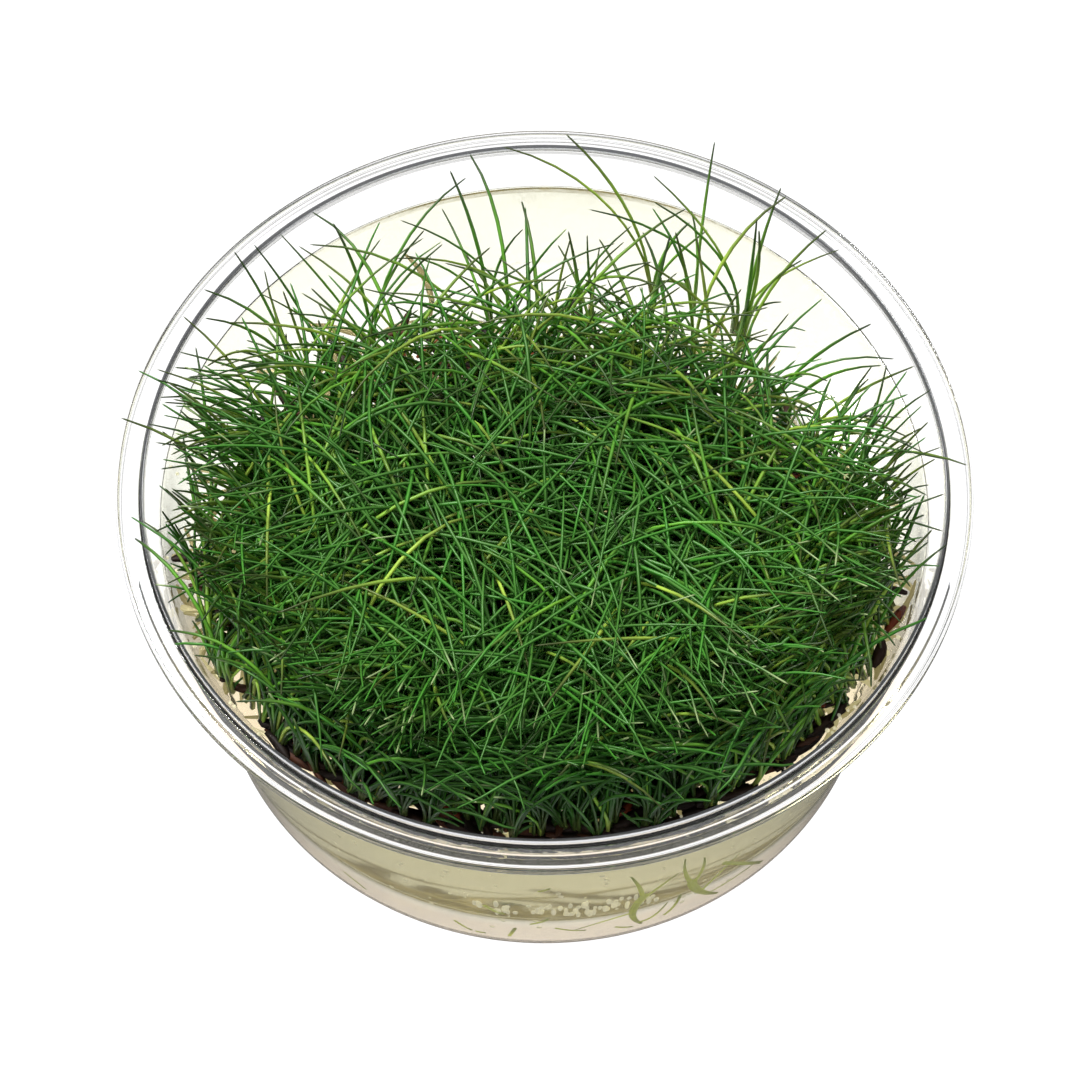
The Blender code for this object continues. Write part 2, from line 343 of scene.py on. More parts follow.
@dataclass(frozen=True)
class DeadSheath:
    """Dead sheaths and roots: soft brown to rust, matt and a little streaked."""

    name: str = "dead_leaf_sheath"
    # Dark browns: the sheaths' own colour, and partly painted shade in the gaps of the turf.
    browns: tuple = ((0.0, "#1A100A"), (0.5, "#2E1C10"), (0.85, "#4E2A16"), (1.0, "#7A3418"))
    let_through: float = 0.0

    def material(self) -> Material:
        """Builds the brown from each flake's tone."""
        material = fresh_material(self.name)
        brown = ramp(material.node_tree, attribute(material.node_tree, "tone"), self.browns)
        dress(material, {"Base Color": brown, "Roughness": 0.6, "Specular IOR Level": 0.3})
        # Painted glow, used by the pale roots.
        if self.let_through:
            glow(material, brown, self.let_through)
        return material


@dataclass(frozen=True)
class TrappedAir:
    """Air caught in the gel as it set, its glints painted: pale at its edge and bright inside by painted
    highlight and glow.
    """

    ior: float = 1.2
    roughness: float = 0.15
    through: float = 0.6
    let_through: float = 0.3
    # Painted highlight: pale colours for the glints of air in gel.
    tones: tuple = ("#F4F0DC", "#D8D4B0")
    cloud_size: float = 1.5

    def material(self) -> Material:
        """Builds the air's shader with painted highlight tones that vary in patches."""
        material = fresh_material("air_in_gel")
        tree = material.node_tree
        tone = blended(tree, noise(tree, object_place(tree), 1 / (self.cloud_size * MM)), *self.tones)
        dress(material, {
            "Base Color": tone,
            "Roughness": self.roughness,
            "IOR": self.ior,
            "Transmission Weight": self.through,
        })
        glow(material, tone, self.let_through)
        return material


@dataclass(frozen=True)
class PaleFloor:
    """Matt white light table, almost plain, with the faintest grain of its paint; its glow holds a painted
    shadow under the cup's front, painted light under its back, and a darker painted reflection.
    """

    bright: str = "#3C3C3C"
    shade: str = "#383838"
    grain_scale: float = 6.0
    roughness: float = 0.9
    open_light: str = "#D6D6D6"
    back_light: str = "#F2F6FF"
    flagged_light: str = "#444444"
    front_lights: tuple = ((24.0, "#6A663F"), (28.0, "#DCD6CA"), (31.0, "#DCD0C0"), (44.0, "#DCD0C0"))
    light: float = 1.6
    clear_reach: float = 48.0
    front_end: float = -8.0
    back_start: float = 14.0

    def material(self) -> Material:
        """Builds the table: pale where it is seen, with a painted shadow under the front of the turf, painted
        light under the back, and a darker glow for reflected rays.
        """
        material = fresh_material("white_table_board")
        tree = material.node_tree
        place = object_place(tree)
        reach = add_node(tree, "ShaderNodeVectorMath", {0: place}, operation="LENGTH").outputs["Value"]
        share = computed(tree, "DIVIDE", reach, self.clear_reach * MM)
        # Painted shadow under the front of the turf, tinted like light through gel and leaves, and painted
        # light under the back.
        stops = [(radius / self.clear_reach, colour) for radius, colour in self.front_lights]
        front = ramp(tree, share, [*stops, (1.0, self.open_light)])
        back = ramp(tree, share, [(stops[-1][0], self.back_light), (1.0, self.open_light)])
        behind = ranged(tree, part_of(tree, place, "Y"), self.front_end * MM, self.back_start * MM,
                        easing="SMOOTHSTEP")
        ray = add_node(tree, "ShaderNodeLightPath").outputs
        light = blended(tree, behind, front, back)
        # Painted reflection: reflected rays see the table darker.
        light = blended(tree, ray["Is Reflection Ray"], light, self.flagged_light)
        light = blended(tree, ray["Is Camera Ray"], light, self.open_light)
        dress(material, {
            "Base Color": blended(tree, noise(tree, place, self.grain_scale), self.bright, self.shade),
            "Roughness": self.roughness,
            "Emission Color": light,
            "Emission Strength": self.light,
        })
        return material


def deselect_all() -> None:
    """Leaves edit mode and deselects every object, the loaded nodes among them."""
    if bpy.context.object and bpy.context.object.mode != "OBJECT":
        bpy.ops.object.mode_set(mode="OBJECT")
    bpy.ops.object.select_all(action="DESELECT")


def finish_piece(piece: Object, material: Material, nodes: tuple = ()) -> None:
    """Dresses a piece, lets it ride on the cup's body and hides the solids it stands for.

    Args:
        piece: the finished object, at the origin.
        material: its finish.
        nodes: the solids that the piece replaces.
    """
    piece.data.materials.clear()
    piece.data.materials.append(material)
    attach(piece, BODY)
    if nodes:
        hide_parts(*nodes)
    log.info("%s: %d faces", piece.name, len(piece.data.polygons))


def add_mesh(name: str, places: np.ndarray, faces: list) -> Object:
    """Makes an object from places in mm and lists of corners."""
    mesh = bpy.data.meshes.new(name)
    mesh.from_pydata((places * MM).tolist(), [], faces)
    piece = bpy.data.objects.new(name, mesh)
    bpy.context.scene.collection.objects.link(piece)
    return piece


def round_corner(before: Vector, corner: Vector, after: Vector, radius: float, steps: int) -> list[Vector]:
    """Points of the arc that rounds one corner of a section, or the corner alone if nearly straight.

    Args:
        before: the point before the corner, in mm.
        corner: the corner itself.
        after: the point after it.
        radius: the arc's radius.
        steps: the number of stretches of the arc.

    Returns:
        The arc's points.
    """
    back = (before - corner).normalized()
    on = (after - corner).normalized()
    half = back.angle(on) / 2
    if half > NEARLY_STRAIGHT or radius <= 0:
        return [corner]
    longest = min((before - corner).length, (after - corner).length) * MOST_OF_SIDE
    reach = min(radius / math.tan(half), longest)
    start = corner + back * reach
    end = corner + on * reach
    shares = [step / steps for step in range(steps + 1)]
    return [start.lerp(corner, share).lerp(corner.lerp(end, share), share) for share in shares]


def round_section(section: list[tuple[float, float, float]], steps: int) -> list[tuple[float, float]]:
    """Rounds the corners of a section that runs from axis to axis.

    Args:
        section: radius, height and corner radius of each point, in mm.
        steps: the stretches of each rounded corner.

    Returns:
        Radius and height of each point of the rounded section, in mm.
    """
    places = [Vector((radius, height)) for radius, height, _ in section]
    points = [places[0]]
    for index in range(1, len(places) - 1):
        points += round_corner(*places[index - 1:index + 2], section[index][2], steps)
    points.append(places[-1])
    return [(point.x, point.y) for point in points]


def turn_section(name: str, section: list[tuple[float, float]], segments: int) -> Object:
    """Turns a section about Z: a ring of edges is extruded and scaled from point to point.

    Args:
        name: the new object's name.
        section: radius and height of each point in mm; the first and the last are on the axis.
        segments: faces around the axis.

    Returns:
        The closed, smooth object at the origin.
    """
    deselect_all()
    radius, height = section[1]
    bpy.ops.mesh.primitive_circle_add(vertices=segments, radius=radius * MM, location=(0, 0, height * MM))
    piece = bpy.context.object
    piece.name = name
    bpy.ops.object.transform_apply(location=True, rotation=True, scale=True)
    bpy.ops.object.mode_set(mode="EDIT")
    bpy.ops.mesh.select_all(action="SELECT")
    for next_radius, next_height in section[2:-1]:
        rise = (next_height - height) * MM
        scale = next_radius / radius
        bpy.ops.mesh.extrude_region_move(TRANSFORM_OT_translate={"value": (0, 0, rise)})
        bpy.ops.transform.resize(value=(scale, scale, 1), center_override=(0, 0, 0))
        radius, height = next_radius, next_height
    close_pole((section[-1][1] - height) * MM)
    select_ring(piece, segments)
    close_pole((section[0][1] - section[1][1]) * MM)
    bpy.ops.mesh.select_all(action="SELECT")
    bpy.ops.mesh.normals_make_consistent(inside=False)
    bpy.ops.object.mode_set(mode="OBJECT")
    bpy.ops.object.shade_smooth()
    return piece


def close_pole(rise: float) -> None:
    """Extrudes the selected ring and merges it into one point on the axis."""
    bpy.ops.mesh.extrude_region_move(TRANSFORM_OT_translate={"value": (0, 0, rise)})
    bpy.ops.mesh.merge(type="CENTER")


def select_ring(piece: Object, count: int) -> None:
    """Selects the first ring of vertices of the object in edit mode."""
    bpy.ops.mesh.select_all(action="DESELECT")
    shape = bmesh.from_edit_mesh(piece.data)
    shape.verts.ensure_lookup_table()
    for vert in shape.verts[:count]:
        vert.select = True
    shape.select_flush(True)
    bmesh.update_edit_mesh(piece.data)


@dataclass
class Cup:
    """Round culture cup: foot ring, tapering wall, flange with a turned-down skirt, slim lip."""

    height: float = 45.0
    rim: float = 51.0
    lip: float = 47.8
    base: float = 42.9
    wall: float = 0.8
    lip_wall: float = 0.38
    lip_slope: float = 0.22
    rib_radius: float = 49.4
    rib_rise: float = 0.15
    floor: float = 1.0
    flange_top: float = 43.8
    flange_under: float = 43.1
    skirt_end: float = 42.4
    skirt_thickness: float = 0.55
    bead_rise: float = 0.3
    foot_outer: float = 41.6
    foot_inner: float = 39.6
    panel: float = 31.0
    panel_rise: float = 1.6
    hub: float = 2.0
    base_corner: float = 1.2
    gel_line: float = 38.1
    gel_shore: float = 46.2
    segments: int = 256

    def wall_radius(self, height: float) -> float:
        """Radius of the inner wall at a height, for the two tapers of the wall."""
        if height <= self.gel_line:
            share = (height - self.base_corner) / (self.gel_line - self.base_corner)
            low = self.base - self.wall
            return low + share * (self.gel_shore - low)
        share = (height - self.gel_line) / (self.height - self.gel_line)
        return self.gel_shore + share * (self.lip - self.wall / 2 - self.gel_shore)

    def wall_place(self, angle: float, height: float, depth: float) -> np.ndarray:
        """Place in the gel: degrees from the front towards +X, height, and depth behind the wall."""
        radius = self.wall_radius(height) - depth
        turn = math.radians(angle)
        return np.array([radius * math.sin(turn), -radius * math.cos(turn), height])

    def section(self) -> list[tuple[float, float]]:
        """Section from under the base, up the outside, over the rim and down the inside."""
        lip_outer = self.lip + self.wall / 2
        lip_inner = self.lip - self.wall / 2
        top_outer = self.lip + self.lip_wall / 2
        top_inner = self.lip - self.lip_wall / 2
        skirt_inner = self.rim - self.skirt_thickness
        bead = self.rim - self.skirt_thickness / 2
        corner_height = self.floor + self.base_corner
        points = [
            (0.0, self.panel_rise, 0.0),
            (self.hub, self.panel_rise, 0.0),
            (self.panel, self.panel_rise, 1.5),
            (self.foot_inner, 0.0, 0.5),
            (self.foot_outer, 0.0, 0.5),
            (self.base, self.base_corner, 0.8),
            (self.gel_shore + self.wall, self.gel_line, 0.0),
            (lip_outer, self.flange_under, 0.25),
            (skirt_inner, self.flange_under, 0.25),
            (skirt_inner, self.skirt_end, 0.12),
            (self.rim, self.skirt_end, 0.2),
            (self.rim, self.flange_top + 0.12, 0.3),
            (bead, self.flange_top + self.bead_rise, 0.2),
            (skirt_inner, self.flange_top, 0.25),
            (self.rib_radius + 0.3, self.flange_top, 0.1),
            (self.rib_radius, self.flange_top + self.rib_rise, 0.1),
            (self.rib_radius - 0.3, self.flange_top, 0.1),
            (lip_outer + 0.1, self.flange_top, 0.1),
            (top_outer, self.flange_top + 0.1, 0.1),
            (top_outer, self.height, 0.1),
            (top_inner, self.height - self.lip_slope, 0.1),
            (lip_inner, self.flange_top - 0.6, 0.3),
            (self.gel_shore, self.gel_line, 0.0),
            (self.wall_radius(corner_height), corner_height, 1.2),
            (self.foot_outer - self.wall / 2, self.floor, 0.6),
            (self.foot_inner, self.floor, 0.6),
            (self.panel, self.panel_rise + self.floor, 1.5),
            (self.hub, self.panel_rise + self.floor, 0.0),
            (0.0, self.panel_rise + self.floor, 0.0),
        ]
        return round_section(points, 5)

    def build(self) -> None:
        """Turns the cup and dresses it in clear plastic."""
        piece = turn_section("clear_cup", self.section(), self.segments)
        finish_piece(piece, ClearPlastic().material(), ("cup",))


@dataclass
class Gel:
    """Set gel that fills the cup and wets its wall, with an uneven top."""

    cup: Cup
    bite: float = 0.3
    meniscus_rise: float = 0.25
    meniscus_width: float = 0.7
    top_rings: int = 30
    unevenness: float = 0.5
    swell_size: float = 7.0
    segments: int = 192

    def section(self) -> list[tuple[float, float]]:
        """Section of the gel: along the cup's inside, then over the top to the axis."""
        cup = self.cup
        corner_height = cup.floor + cup.base_corner
        shore = cup.wall_radius(cup.gel_line + self.meniscus_rise)
        panel_top = cup.panel_rise + cup.floor - self.bite
        points = round_section([
            (0.0, panel_top, 0.0),
            (cup.hub, panel_top, 0.0),
            (cup.panel, panel_top, 1.5),
            (cup.foot_inner, cup.floor - self.bite, 0.6),
            (cup.foot_outer - cup.wall / 2 + self.bite, cup.floor - self.bite, 0.6),
            (cup.wall_radius(corner_height) + self.bite, corner_height, 1.2),
            (cup.gel_shore + self.bite, cup.gel_line, 0.0),
            (shore + self.bite, cup.gel_line + self.meniscus_rise, 0.1),
            (shore - self.meniscus_width * 0.3, cup.gel_line + self.meniscus_rise * 0.3, 0.6),
            (shore - self.meniscus_width, cup.gel_line, 0.6),
            (0.0, cup.gel_line, 0.0),
        ], 4)[:-1]
        start = points[-1][0]
        for ring in range(1, self.top_rings):
            points.append((start + (1.0 - start) * ring / (self.top_rings - 1), cup.gel_line))
        points.append((0.0, cup.gel_line))
        return points

    def build(self) -> None:
        """Turns the gel, swells its top unevenly and dresses it."""
        piece = turn_section("culture_gel", self.section(), self.segments)
        group = piece.vertex_groups.new(name="top")
        inner = (self.cup.gel_shore - 2 * self.meniscus_width) * MM
        near_top = (self.cup.gel_line - 0.1) * MM
        chosen = [
            vert.index for vert in piece.data.vertices
            if vert.co.z > near_top and vert.co.xy.length < inner
        ]
        group.add(chosen, 1.0, "REPLACE")
        swell = bpy.data.textures.new("gel_swell", "CLOUDS")
        swell.noise_scale = self.swell_size * MM
        deselect_all()
        bpy.context.view_layer.objects.active = piece
        piece.select_set(True)
        bpy.ops.object.modifier_add(type="DISPLACE")
        displace = piece.modifiers[-1]
        displace.texture = swell
        displace.vertex_group = group.name
        displace.direction = "Z"
        displace.strength = self.unevenness * MM
        bpy.ops.object.modifier_apply(modifier=displace.name)
        piece.vertex_groups.clear()
        finish_piece(piece, CultureGel().material(), ("gel",))


@dataclass
class BladeSet:
    """Hair-fine blades as arrays with one entry a blade, in mm and radians."""

    bases: np.ndarray
    lengths: np.ndarray
    tilt_start: np.ndarray
    tilt_end: np.ndarray
    heading: np.ndarray
    turn: np.ndarray
    axes: np.ndarray
    widths: np.ndarray
    looks: np.ndarray
    sheaf: float = 0.3
    late_bend: float = 1.3

    def centre_lines(self, segments: int) -> np.ndarray:
        """Leads each blade up its crown's axis, then bends it from its first tilt to its last.

        Args:
            segments: the stretches of a blade.

        Returns:
            An array of blades, by points, by XYZ.
        """
        shares = (np.arange(segments) + 0.5) / segments
        bend = self.tilt_end - self.tilt_start
        tilt = self.tilt_start[:, None] + bend[:, None] * shares ** self.late_bend
        own = directions(tilt, self.heading[:, None] + self.turn[:, None] * shares)
        free = np.clip(shares / self.sheaf, 0, 1)
        free = (free * free * (3 - 2 * free))[None, :, None]
        ways = unit(self.axes[:, None] * (1 - free) + own * free)
        steps = ways * (self.lengths / segments)[:, None, None]
        lines = np.zeros((len(self.bases), segments + 1, 3))
        lines[:, 0] = self.bases
        lines[:, 1:] = self.bases[:, None] + np.cumsum(steps, axis=1)
        return lines


def directions(tilt: np.ndarray, heading: np.ndarray) -> np.ndarray:
    """Directions at tilts from upright towards headings."""
    return np.stack([np.sin(tilt) * np.cos(heading), np.sin(tilt) * np.sin(heading), np.cos(tilt)], axis=-1)


def unit(vectors: np.ndarray) -> np.ndarray:
    """Vectors of the same directions and of length 1."""
    return vectors / np.linalg.norm(vectors, axis=-1, keepdims=True)


def write_attribute(mesh: Mesh, name: str, values: np.ndarray) -> None:
    """Stores one number a vertex on a mesh."""
    layer = mesh.attributes.new(name, "FLOAT", "POINT")
    layer.data.foreach_set("value", np.ascontiguousarray(values, np.float32).ravel())


@dataclass
class Looks:
    """Colour choices that blades share, one entry a look."""

    tone: np.ndarray
    tip: np.ndarray
    sheath: np.ndarray
    shade: np.ndarray


@dataclass
class BladeMesher:
    """Turns centre lines into four-sided blades, closed at both ends, in one joined mesh."""

    palette: Looks
    sides: int = 4
    point_share: float = 0.15
    bake_map: str = "OFBake"
    map_margin: float = 0.02
    row_margin: float = 0.1

    def frames(self, lines: np.ndarray) -> tuple[np.ndarray, np.ndarray]:
        """Directions to each blade's upper face and to its side, at each of its points."""
        along = unit(np.gradient(lines, axis=1))
        run = lines[:, -1] - lines[:, 0]
        side = np.stack([-run[:, 1], run[:, 0], np.full(len(run), 1e-6)], axis=-1)[:, None]
        side = unit(side - (side * along).sum(2, keepdims=True) * along)
        return np.cross(along, side), side

    def faces(self, count: int, points: int) -> list:
        """Faces of blades with their ends closed: the sides and the foot as quads, the point as triangles."""
        size = points * self.sides + 1
        first = np.arange(self.sides)
        after = (first + 1) % self.sides
        quads = [
            np.stack([low + first, low + after, low + self.sides + after, low + self.sides + first], axis=-1)
            for low in range(0, (points - 1) * self.sides, self.sides)
        ]
        quads = np.concatenate([*quads, np.array([[3, 2, 1, 0]])])
        last = (points - 1) * self.sides
        caps = np.stack([last + first, last + after, np.full(self.sides, size - 1)], axis=-1)
        offsets = (np.arange(count) * size)[:, None, None]
        all_quads = (quads[None] + offsets).reshape(-1, 4)
        all_caps = (caps[None] + offsets).reshape(-1, 3)
        return all_quads.tolist() + all_caps.tolist()

    def mesh(self, name: str, lines: np.ndarray, radii: np.ndarray, looks: np.ndarray,
             flatness: float = 1.0) -> Object:
        """Joins blades into one object with the attributes that their finish reads.

        Args:
            name: the object's name.
            lines: blades, by points, by XYZ in mm.
            radii: blades, by points, in mm.
            looks: the number of each blade's look in the palette.
            flatness: thickness of a blade as a share of its width.

        Returns:
            The new object, at the origin.
        """
        count, points, _ = lines.shape
        upper, side = self.frames(lines)
        angles = math.tau * np.arange(self.sides) / self.sides
        ring = (
            np.cos(angles)[None, None, :, None] * upper[:, :, None] * flatness
            + np.sin(angles)[None, None, :, None] * side[:, :, None]
        ) * radii[:, :, None, None]
        rings = lines[:, :, None] + ring
        ends = lines[:, -1] + (lines[:, -1] - lines[:, -2]) * self.point_share
        places = np.concatenate([rings.reshape(count, -1, 3), ends[:, None]], axis=1)
        piece = add_mesh(name, places.reshape(-1, 3), self.faces(count, points))
        mesh = piece.data
        share = np.append(np.repeat(np.linspace(0, 1, points), self.sides), 1.0)
        # Weight of the upper side, which the skin paints as a pale midrib and highlight.
        rib = np.append(np.tile((1 + np.cos(angles)) / 2, points), 0.5)
        write_attribute(mesh, "along", np.tile(share, count))
        write_attribute(mesh, "rib", np.tile(rib, count))
        for key, values in vars(self.palette).items():
            write_attribute(mesh, key, np.repeat(values[looks], len(share)))
        rows = looks[:, None] + self.row_margin + (1 - 2 * self.row_margin) * rib[None]
        rows = rows / len(self.palette.tone)
        columns = self.map_margin + (1 - 2 * self.map_margin) * share
        flat = np.stack([np.tile(columns, count), rows.ravel()], axis=-1)
        corners = np.zeros(len(mesh.loops), np.int32)
        mesh.loops.foreach_get("vertex_index", corners)
        mesh.uv_layers.new(name=self.bake_map)
        mesh.uv_layers[self.bake_map].uv.foreach_set(
            "vector", np.ascontiguousarray(flat[corners], np.float32).ravel()
        )
        mesh.validate()
        mesh.shade_smooth()
        return piece


@dataclass
class Turf:
    """Dense turf of hairgrass: crowns all over the gel, each with a fan of blades."""

    cup: Cup
    crown_spacing: float = 2.7
    crown_shift: float = 0.55
    radius: float = 45.6
    thick_back: float = 16.3
    thick_bow: float = 0.012
    thick_shift: float = -4.0
    fade: float = 4.5
    side_gap: float = 11.0
    side_start: float = -15.0
    far_back: float = 5.0
    fringe_start: float = -8.0
    fringe_depth: float = 12.0
    fringe_upright: float = 0.35
    fringe_rise: float = 0.2
    fringe_loss: float = 0.5
    tallest: float = 25.0
    edge_spacing: float = 2.2
    edge_depth: float = 2.6
    edge_arc: tuple = (0.12, 0.76)
    tip_reach: float = 5.0
    tip_fade: float = 6.0
    blades_per_crown: tuple = (5, 10)
    short_share: float = 0.3
    short_rise: tuple = (0.15, 0.45)
    short_stretch: tuple = (1.1, 2.2)
    rise: tuple = (0.66, 0.2)
    rise_limits: tuple = (0.3, 1.2)
    canopy_middle: float = 19.0
    canopy_front: float = 8.0
    canopy_side: float = 13.0
    canopy_shoulder: float = 22.0
    length: tuple = (20.0, 42.0)
    length_beta: tuple = (1.4, 1.8)
    length_share: float = 0.6
    least_stretch: float = 1.02
    most_tilt: float = 68.0
    arch: tuple = (0.9, 0.2)
    arch_limits: tuple = (0.3, 1.25)
    turn: float = 0.45
    crown_lean: float = 0.3
    crown_width: tuple = (0.05, 0.5)
    outward: float = 0.9
    wall_room: float = 9.0
    sweep: float = 0.7
    sweep_size: float = 17.0
    crown_scatter: float = 0.6
    blade_scatter: float = 1.0
    width: tuple = (0.35, 0.5)
    stray_share: float = 0.02
    stray_front: float = -15.0
    depth: float = 0.7
    tip_gap: float = 0.8
    wall_gap: float = 0.5
    wall_press: float = 2.0
    lip_reach: float = 1.5
    lip_rise: float = 3.0
    sheath_swell: float = 0.3
    sheath_run: float = 0.12
    tip_run: float = 0.3
    tip_width: float = 0.45
    tip_power: float = 0.7
    # Where the light looks, painted light, take over from the deep and dim ones, painted shade.
    light_start: float = -14.0
    light_gain: float = 0.07
    light_limits: tuple = (0.08, 0.95)
    wall_light: float = 0.7
    wall_light_depth: float = 12.0
    wall_light_span: tuple = (-38.0, 16.0)
    segments: int = 10
    clumps: int = 37
    dim_looks: int = 6
    deep_looks: int = 12
    light_looks: int = 8

    def beyond_thick(self, places: np.ndarray) -> np.ndarray:
        """How far each place lies behind the bow where the thick turf ends, in mm."""
        return places[:, 1] - (self.thick_back - self.thick_bow * (places[:, 0] - self.thick_shift) ** 2)

    def crowns(self, rng: np.random.Generator) -> np.ndarray:
        """Places of the crowns: an uneven triangular grid that thins out towards the back."""
        rows = int(self.radius / self.crown_spacing) + 4
        row, column = np.mgrid[-rows:rows + 1, -rows:rows + 1].reshape(2, -1)
        places = np.stack([
            (column + 0.5 * (row % 2)) * self.crown_spacing,
            row * self.crown_spacing * TRIANGLE_HEIGHT,
        ], axis=-1)
        shift = rng.uniform(-self.crown_shift, self.crown_shift, (len(places), 2))
        places = places + shift * self.crown_spacing
        chance = np.exp(-np.maximum(self.beyond_thick(places), 0) / self.fade)
        places = places[(rng.random(len(places)) < chance) & self.off_sides(places)]
        centres = self.clump_centres()
        centres[:, 1] -= np.maximum(self.beyond_thick(centres) - self.far_back, 0)
        return np.concatenate([places, self.edge_crowns(rng), centres])

    def off_sides(self, places: np.ndarray) -> np.ndarray:
        """Tells which places keep clear of the wall: right up to it in front, some way off behind."""
        behind = np.clip((places[:, 1] - self.side_start) / -self.side_start, 0, 1)
        return np.hypot(places[:, 0], places[:, 1]) < self.radius - self.side_gap * behind

    def edge_crowns(self, rng: np.random.Generator) -> np.ndarray:
        """Places of the small crowns that crowd along the wall in the front half."""
        steps = int(math.pi * self.radius / self.edge_spacing)
        start, arc = self.edge_arc
        turns = -math.pi * (start + arc * (np.arange(steps) + rng.uniform(0, 1, steps)) / steps)
        reach = self.radius - rng.uniform(0, self.edge_depth, steps)
        return np.stack([np.cos(turns) * reach, np.sin(turns) * reach], axis=-1)

    def clump_centres(self) -> np.ndarray:
        """Middles of the clumps' solids, in mm."""
        boxes = [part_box(f"clump_{number:02d}") for number in range(1, self.clumps + 1)]
        return np.array([((low.x + high.x) / 2 / MM, (low.y + high.y) / 2 / MM) for low, high in boxes])

    def canopy(self, places: np.ndarray) -> np.ndarray:
        """Height of the turf over the gel, which drops near the wall, most of all at the front."""
        room = (self.radius - np.hypot(places[:, 0], places[:, 1])) / self.canopy_shoulder
        share = np.clip(room, 0, 1)
        sideways = np.clip((places[:, 1] + self.radius) / (self.radius + self.stray_front), 0, 1)
        at_wall = self.canopy_front + (self.canopy_side - self.canopy_front) * sideways
        at_wall = at_wall + (self.canopy_middle - at_wall) * self.fringe_share(places)
        return at_wall + (self.canopy_middle - at_wall) * share * (2 - share)

    def fringe_share(self, places: np.ndarray) -> np.ndarray:
        """How much each place belongs to the open, upright fringe behind the thick turf, 0 to 1."""
        return np.clip((self.beyond_thick(places) - self.fringe_start) / self.fringe_depth, 0, 1)

    def lean(self, places: np.ndarray, rng: np.random.Generator,
             owner: np.ndarray) -> tuple[np.ndarray, np.ndarray]:
        """Ways that the blades lean: outwards, swept together over some millimetres, and scattered.

        Args:
            places: the place of each blade's crown.
            rng: source of the variation.
            owner: the number of each blade's crown.

        Returns:
            The way that each blade's crown leans, and the blade's own scatter from it.
        """
        room = self.radius - np.hypot(places[:, 0], places[:, 1])
        turned_in = np.clip(room / self.wall_room, 0, 1) * 2 - 1
        out = places / self.radius * self.outward * turned_in[:, None]
        waves = places / self.sweep_size * math.tau
        sweep = np.stack([
            np.sin(waves[:, 1] * 0.8 + 1.0) + np.cos(waves[:, 0] * 0.37 + waves[:, 1] * 0.21),
            np.sin(waves[:, 0] * 0.7 + 2.0) + np.cos(waves[:, 1] * 0.43 - waves[:, 0] * 0.31),
        ], axis=-1) * self.sweep / 2
        crowns = rng.normal(0, self.crown_scatter, (owner.max() + 1, 2))[owner]
        return out + sweep + crowns, rng.normal(0, self.blade_scatter, (len(owner), 2))

    def off_wall(self, places: np.ndarray, ways: np.ndarray) -> np.ndarray:
        """Turns back the ways that run into the front wall from places right beside it."""
        reach = np.hypot(places[:, 0], places[:, 1])
        inward = -places / reach[:, None]
        toward_wall = np.minimum((ways * inward).sum(axis=1), 0)
        crowded = (self.radius - reach < self.wall_room / 2) & (places[:, 1] < self.stray_front)
        return ways - 2 * inward * (toward_wall * crowded)[:, None]

    def grow(self, crowns: np.ndarray, rng: np.random.Generator) -> tuple[BladeSet, np.ndarray]:
        """Grows each crown's blades: the longer a blade is, the further it bows over.

        Args:
            crowns: places of the crowns on the gel.
            rng: source of the variation.

        Returns:
            The blades, and the number of each blade's crown.
        """
        fullness = 1 - self.fringe_loss * self.fringe_share(crowns)
        each = rng.integers(*self.blades_per_crown, len(crowns)) * fullness
        owner = np.repeat(np.arange(len(crowns)), np.ceil(each).astype(int))
        count = len(owner)
        centre = crowns[owner]
        canopy = self.canopy(centre)
        fringe = self.fringe_share(centre)
        common, scatter = self.lean(centre, rng, owner)
        common = self.off_wall(centre, common)
        way = self.off_wall(centre, common + scatter)
        heading = np.arctan2(way[:, 1], way[:, 0])
        short = rng.random(count) < self.short_share
        rise = canopy * np.where(
            short,
            rng.uniform(*self.short_rise, count),
            np.clip(rng.normal(*self.rise, count), *self.rise_limits),
        )
        rise = np.minimum(rise * (1 + self.fringe_rise * fringe), self.tallest)
        low, high = self.length
        room = self.length_share + (1 - self.length_share) * canopy / self.canopy_middle
        length = (low + (high - low) * rng.beta(*self.length_beta, count)) * room
        stretch = rng.uniform(*self.short_stretch, count)
        length = np.where(short, rise * stretch, np.maximum(length, rise * self.least_stretch))
        offset = rng.uniform(*self.crown_width, count)
        base = np.stack([
            centre[:, 0] + np.cos(heading) * offset,
            centre[:, 1] + np.sin(heading) * offset,
            np.full(count, self.cup.gel_line - self.depth),
        ], axis=-1)
        tilt = np.minimum(np.arccos(rise / length), math.radians(self.most_tilt))
        tilt = tilt * (1 - self.fringe_upright * fringe)
        stray = (rng.random(count) < self.stray_share) & (centre[:, 1] > self.stray_front)
        tilt = tilt * np.where(stray, 1.0, self.room_to_wall(base, heading, length, tilt))
        ceiling = np.where(stray, self.tallest, canopy * self.rise_limits[1])
        length = np.minimum(length, ceiling / np.cos(tilt))
        arch = np.clip(rng.normal(*self.arch, count), *self.arch_limits)
        looks = self.pick_looks(centre, short, rng)
        return BladeSet(
            bases=base, lengths=length, tilt_start=tilt * (1 - arch), tilt_end=tilt * (1 + arch),
            heading=heading, turn=rng.normal(0, self.turn, count),
            axes=unit(np.concatenate([common * self.crown_lean, np.ones((count, 1))], axis=1)),
            widths=rng.uniform(*self.width, count), looks=looks,
        ), owner

